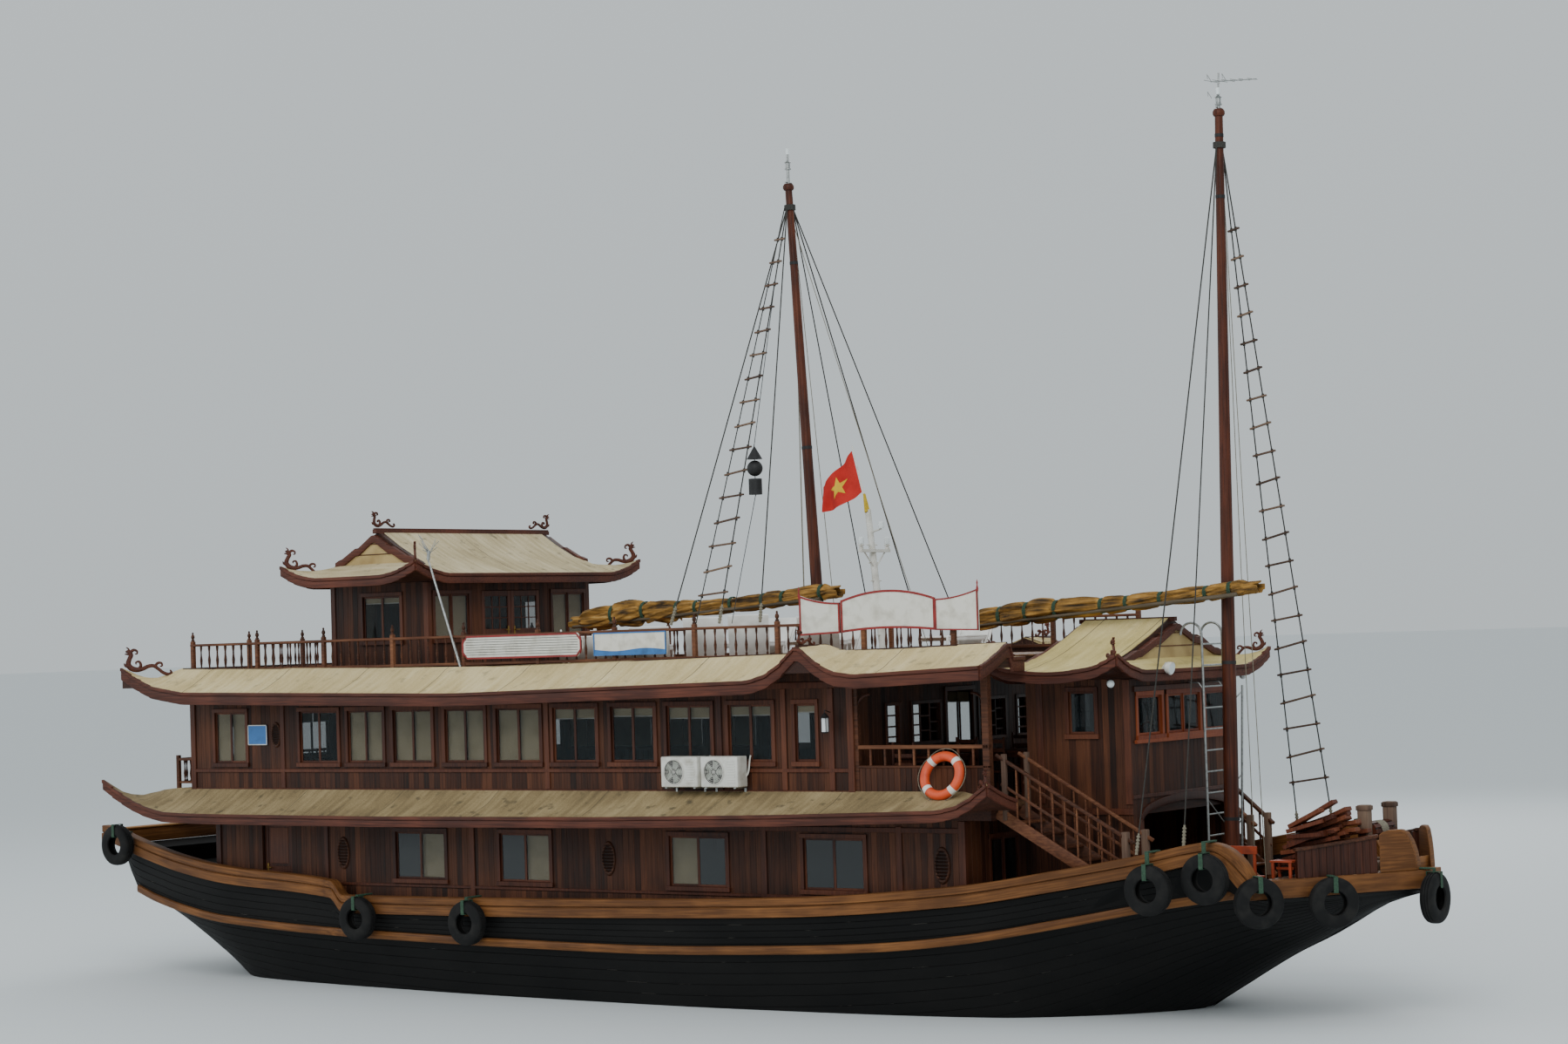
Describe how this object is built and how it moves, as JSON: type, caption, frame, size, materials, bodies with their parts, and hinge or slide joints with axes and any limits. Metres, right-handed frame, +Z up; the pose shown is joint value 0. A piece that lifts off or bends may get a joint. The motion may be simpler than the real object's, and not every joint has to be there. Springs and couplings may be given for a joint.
{
  "type": "wooden day-cruise junk ship",
  "caption": "Two-masted wooden junk with a flared planked hull, two cabin decks under upturned eaves, a sun-deck pavilion, a wheelhouse, furled sails, rudder and propeller.",
  "frame": {"origin": "on the waterline, on the centreline, amidships between the bow platform's nose and the stern horns", "axes": "+X towards the bow, +Y to port, +Z up"},
  "size_m": [26.1219, 7.64, 15.9],
  "materials": {
    "hull_paint": "dull black paint over planks",
    "varnished_timber": "satin varnish",
    "wall_planks": "dark red-brown oiled planks",
    "joinery": "red-brown varnish",
    "roof_tiles": "weathered cream sheet with dark seams",
    "deck_planks": "worn planks",
    "mast_timber": "dark oiled pole",
    "sail_cloth": "ochre canvas, furled",
    "rope": "laid rope",
    "bronze": "cast",
    "white_paint": "satin enamel",
    "flag_cloth": "light bunting",
    "orange_plastic": "moulded ring with white bands",
    "galvanised_steel": "galvanised tube"
  },
  "bodies": {
    "ship": {"hull": "hull_paint", "hull_fore": "hull_paint", "keel": "hull_paint", "topside_starboard": "hull_paint", "topside_port": "hull_paint", "gunwale_aft_starboard": "varnished_timber", "gunwale_aft_port": "varnished_timber", "gunwale_starboard": "varnished_timber", "gunwale_port": "varnished_timber", "rub_strake_starboard": "varnished_timber", "rub_strake_port": "varnished_timber", "bow_platform": "varnished_timber", "lower_wall_starboard": "wall_planks", "lower_wall_port": "wall_planks", "lower_wall_aft": "wall_planks", "lower_wall_fore": "wall_planks", "upper_wall_starboard": "wall_planks", "upper_wall_port": "wall_planks", "upper_wall_aft": "wall_planks", "upper_wall_fore": "wall_planks", "pavilion_wall_starboard": "wall_planks", "pavilion_wall_port": "wall_planks", "pavilion_wall_aft": "wall_planks", "pavilion_wall_fore": "wall_planks", "wheelhouse_wall_starboard": "wall_planks", "wheelhouse_wall_port": "wall_planks", "wheelhouse_wall_fore": "wall_planks", "wheelhouse_wall_aft": "wall_planks", "balcony_starboard": "joinery", "balcony_port": "joinery", "sun_deck_rail": "joinery", "stairs_starboard": "joinery", "stairs_port": "joinery", "helm_console": "joinery", "windlass_frame": "joinery", "skirt_roof": "roof_tiles", "main_roof": "roof_tiles", "pavilion_roof": "roof_tiles", "wheelhouse_roof": "roof_tiles", "upper_deck": "deck_planks", "fore_mast": "mast_timber", "main_mast": "mast_timber", "fore_stays": "rope", "main_stays": "rope", "signal_mast": "white_paint", "outdoor_units": "white_paint", "flag": "flag_cloth", "life_ring": "orange_plastic", "steel_ladder": "galvanised_steel"},
    "rudder_body": {"rudder": "mast_timber"},
    "propeller_body": {"propeller": "bronze"},
    "helm_body": {"helm_wheel": "joinery"},
    "fore_boom_body": {"fore_boom": "sail_cloth"},
    "main_boom_body": {"main_boom": "sail_cloth"},
    "windlass_body": {"windlass_drum": "joinery"},
    "side_door_body": {"side_door": "joinery"},
    "fore_door_body": {"fore_door": "joinery"},
    "pavilion_door_starboard_body": {"pavilion_door_starboard": "joinery"},
    "pavilion_door_port_body": {"pavilion_door_port": "joinery"},
    "wheelhouse_door_body": {"wheelhouse_door": "joinery"}
  },
  "joints": [
    {"name": "propeller_spin", "type": "hinge", "parent": "ship", "child": "propeller_body", "pos_m": [-9.9, 0, -1.17], "axis": [1, 0, 0], "continuous": true},
    {"name": "rudder_turn", "type": "hinge", "parent": "ship", "child": "rudder_body", "pos_m": [-10.55, 0, -0.8], "axis": [0, 0, 1], "range_deg": [-35, 35]},
    {"name": "helm_turn", "type": "hinge", "parent": "ship", "child": "helm_body", "pos_m": [8.02, 0, 4.13], "axis": [1, 0, 0], "range_deg": [-540, 540]},
    {"name": "fore_boom_swing", "type": "hinge", "parent": "ship", "child": "fore_boom_body", "pos_m": [9.52677, 0, 6.39], "axis": [0.0207, 0, 0.9998], "range_deg": [-30, 30]},
    {"name": "main_boom_swing", "type": "hinge", "parent": "ship", "child": "main_boom_body", "pos_m": [1.74814, 0, 6.59], "axis": [-0.0471, 0, 0.9989], "range_deg": [-30, 30]},
    {"name": "windlass_turn", "type": "hinge", "parent": "ship", "child": "windlass_body", "pos_m": [11.9, 0, 2.76], "axis": [0, 1, 0], "continuous": true},
    {"name": "side_door_swing", "type": "hinge", "parent": "ship", "child": "side_door_body", "pos_m": [-7.828, -2.942, 2.1], "axis": [0, 0, -1], "range_deg": [0, 90]},
    {"name": "fore_door_swing", "type": "hinge", "parent": "ship", "child": "fore_door_body", "pos_m": [6.442, -0.412, 2], "axis": [0, 0, 1], "range_deg": [0, 90]},
    {"name": "pavilion_door_starboard_swing", "type": "hinge", "parent": "ship", "child": "pavilion_door_starboard_body", "pos_m": [-5.102, -0.792, 6.2], "axis": [0, 0, -1], "range_deg": [0, 100]},
    {"name": "pavilion_door_port_swing", "type": "hinge", "parent": "ship", "child": "pavilion_door_port_body", "pos_m": [-5.102, 0.792, 6.2], "axis": [0, 0, 1], "range_deg": [0, 100]},
    {"name": "wheelhouse_door_swing", "type": "hinge", "parent": "ship", "child": "wheelhouse_door_body", "pos_m": [6.832, -0.342, 4.1], "axis": [0, 0, 1], "range_deg": [0, 95]}
  ],
  "couplings": [
    {"joint": "helm_turn", "follows": "rudder_turn", "ratio": 15.429}
  ]
}
